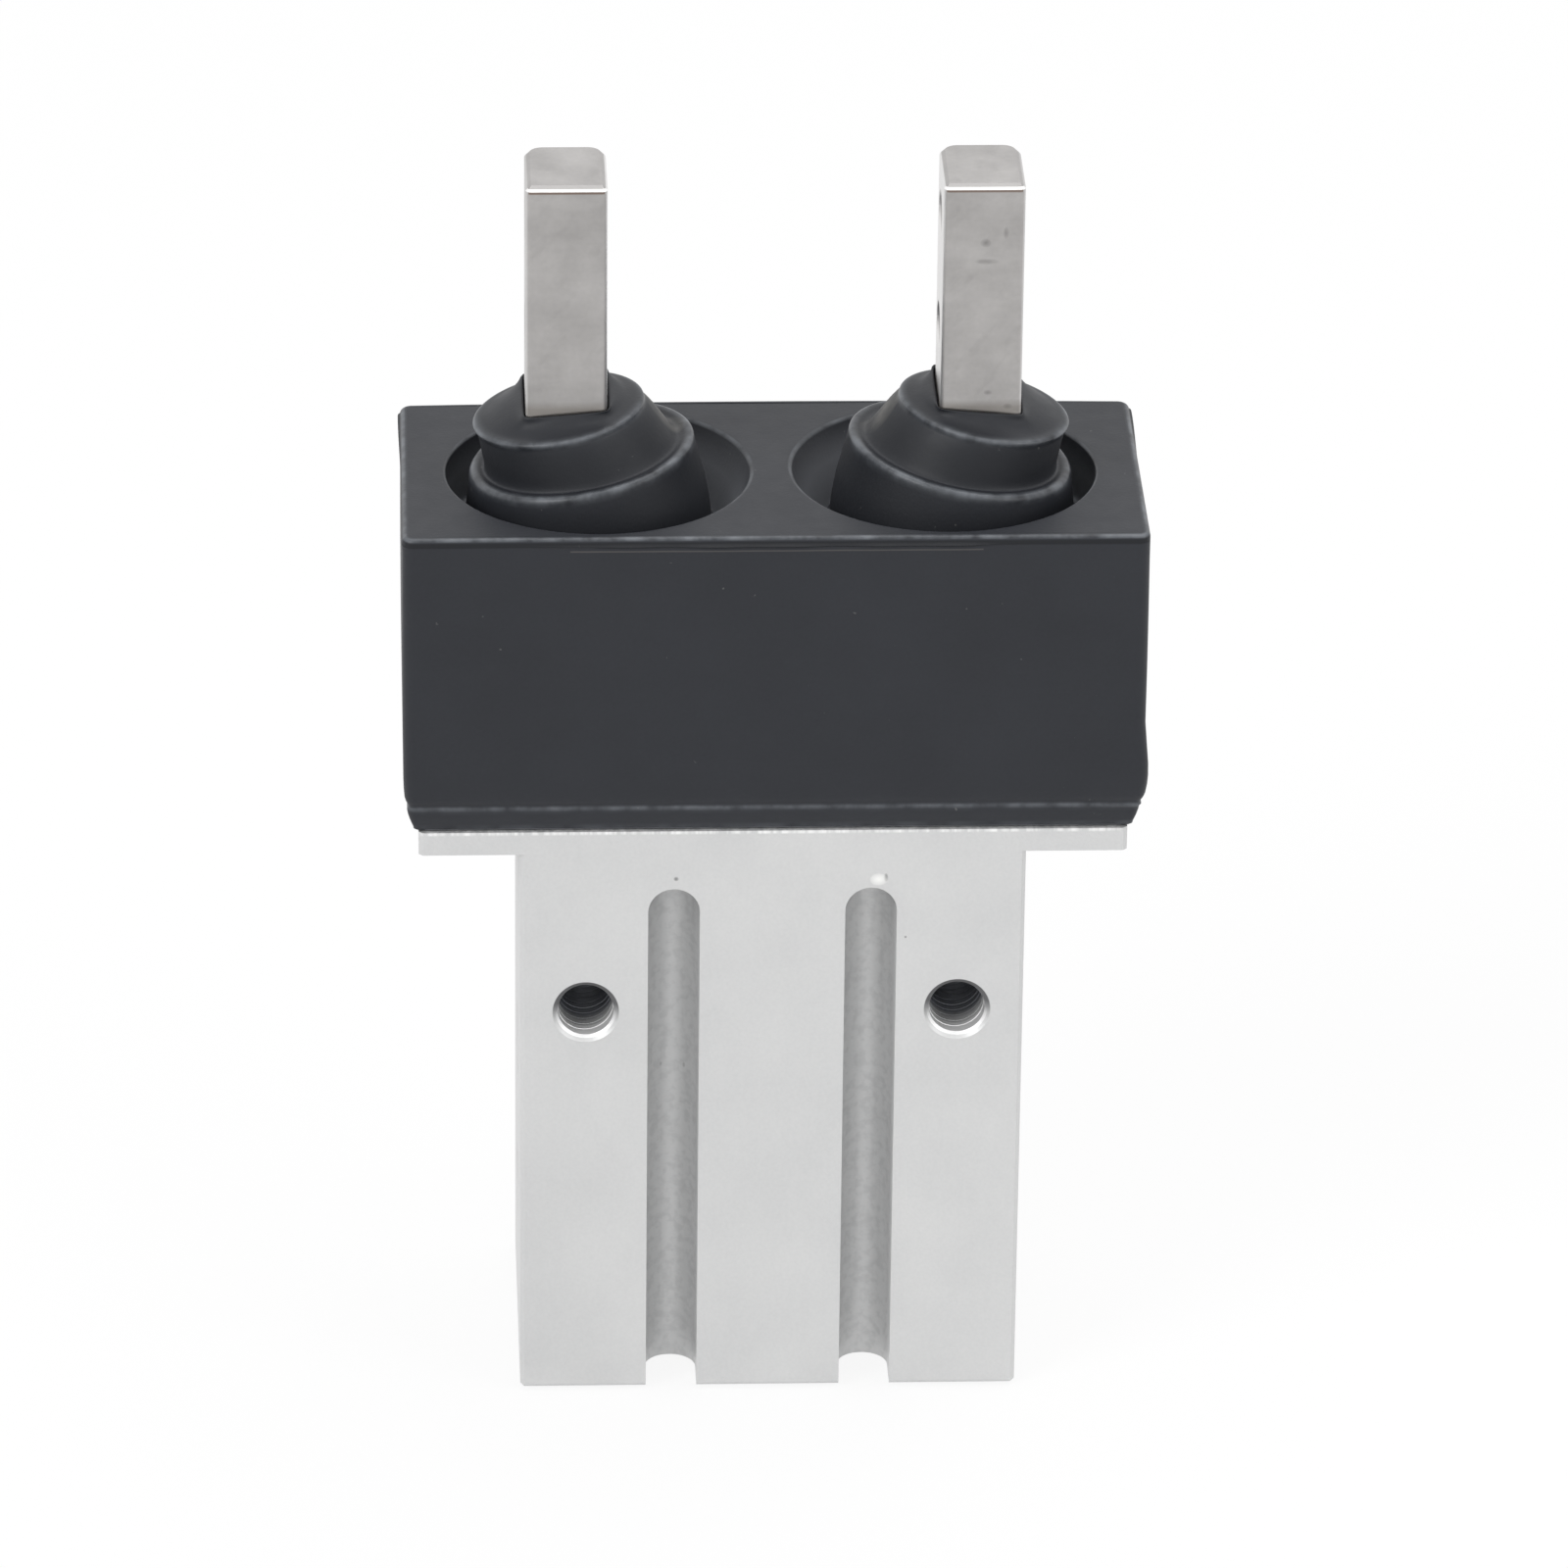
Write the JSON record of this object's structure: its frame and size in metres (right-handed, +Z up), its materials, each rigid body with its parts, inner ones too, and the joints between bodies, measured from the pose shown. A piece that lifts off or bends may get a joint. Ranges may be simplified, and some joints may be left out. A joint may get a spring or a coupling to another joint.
{
  "type": "pneumatic gripper",
  "caption": "Parallel pneumatic gripper: T-shaped aluminium body with switch grooves, moulded rubber dust cover, and two upright steel fingers in bellows, shown open.",
  "frame": {"origin": "centre of the body's bottom face, which is the centre of the bounding box's bottom", "axes": "+Z up through the finger tips, X along the fingers' travel, -Y out of the front face with the two switch grooves"},
  "size_m": [0.0446, 0.02, 0.0777],
  "materials": {
    "anodised_aluminium": "satin anodised",
    "guide_steel": "ground",
    "finger_steel": "ground stainless",
    "lever_steel": "hardened",
    "bearing_steel": "polished",
    "screw_steel": "black oxide",
    "rod_steel": "ground and polished",
    "piston_aluminium": "turned",
    "spring_steel": "phosphated",
    "retainer_brass": "turned",
    "cover_rubber": "matt moulded",
    "seal_rubber": "matt",
    "magnet_rubber": "matt"
  },
  "bodies": {
    "housing": {"body": "anodised_aluminium", "guide": "guide_steel", "guide_screws": "screw_steel", "guide_dowels": "bearing_steel", "dust_cover": "cover_rubber", "lever_shafts": "lever_steel", "rod_seal": "seal_rubber", "seal_retainer": "retainer_brass", "end_cap": "piston_aluminium", "cap_gasket": "seal_rubber", "retaining_ring": "spring_steel", "bumper": "seal_rubber"},
    "piston_assembly": {"piston": "piston_aluminium", "piston_rod": "rod_steel", "centre_pin": "lever_steel", "piston_seal": "seal_rubber", "magnet_ring": "magnet_rubber"},
    "left_lever": {"left_lever": "lever_steel"},
    "right_lever": {"right_lever": "lever_steel"},
    "left_finger": {"left_finger": "finger_steel", "left_roller_stops": "bearing_steel", "left_bellows": "cover_rubber"},
    "right_finger": {"right_finger": "finger_steel", "right_roller_stops": "bearing_steel", "right_bellows": "cover_rubber"},
    "left_rollers": {"left_rollers": "bearing_steel"},
    "right_rollers": {"right_rollers": "bearing_steel"}
  },
  "joints": [
    {"name": "left_finger_slide", "type": "slide", "parent": "housing", "child": "left_finger", "axis": [1, 0, 0], "range_m": [0, 0.003], "deforming": ["left_bellows"]},
    {"name": "right_finger_slide", "type": "slide", "parent": "housing", "child": "right_finger", "axis": [-1, 0, 0], "range_m": [0, 0.003], "deforming": ["right_bellows"]},
    {"name": "piston_slide", "type": "slide", "parent": "housing", "child": "piston_assembly", "axis": [0, 0, -1], "range_m": [0, 0.00208]},
    {"name": "left_lever_turn", "type": "hinge", "parent": "housing", "child": "left_lever", "pos_m": [-0.0072, 0, 0.033], "axis": [0, 1, 0], "range_deg": [0, 16.43]},
    {"name": "right_lever_turn", "type": "hinge", "parent": "housing", "child": "right_lever", "pos_m": [0.0072, 0, 0.033], "axis": [0, -1, 0], "range_deg": [0, 16.43]},
    {"name": "left_rollers_slide", "type": "slide", "parent": "housing", "child": "left_rollers", "axis": [1, 0, 0], "range_m": [0, 0.0015]},
    {"name": "right_rollers_slide", "type": "slide", "parent": "housing", "child": "right_rollers", "axis": [-1, 0, 0], "range_m": [0, 0.0015]}
  ],
  "couplings": [
    {"joint": "right_finger_slide", "follows": "left_finger_slide", "ratio": 1},
    {"joint": "piston_slide", "follows": "left_finger_slide", "ratio": 0.69282},
    {"joint": "left_lever_turn", "follows": "left_finger_slide", "rad_per_m": 95.565},
    {"joint": "right_lever_turn", "follows": "left_finger_slide", "rad_per_m": 95.565},
    {"joint": "left_rollers_slide", "follows": "left_finger_slide", "ratio": 0.5},
    {"joint": "right_rollers_slide", "follows": "left_finger_slide", "ratio": 0.5}
  ]
}
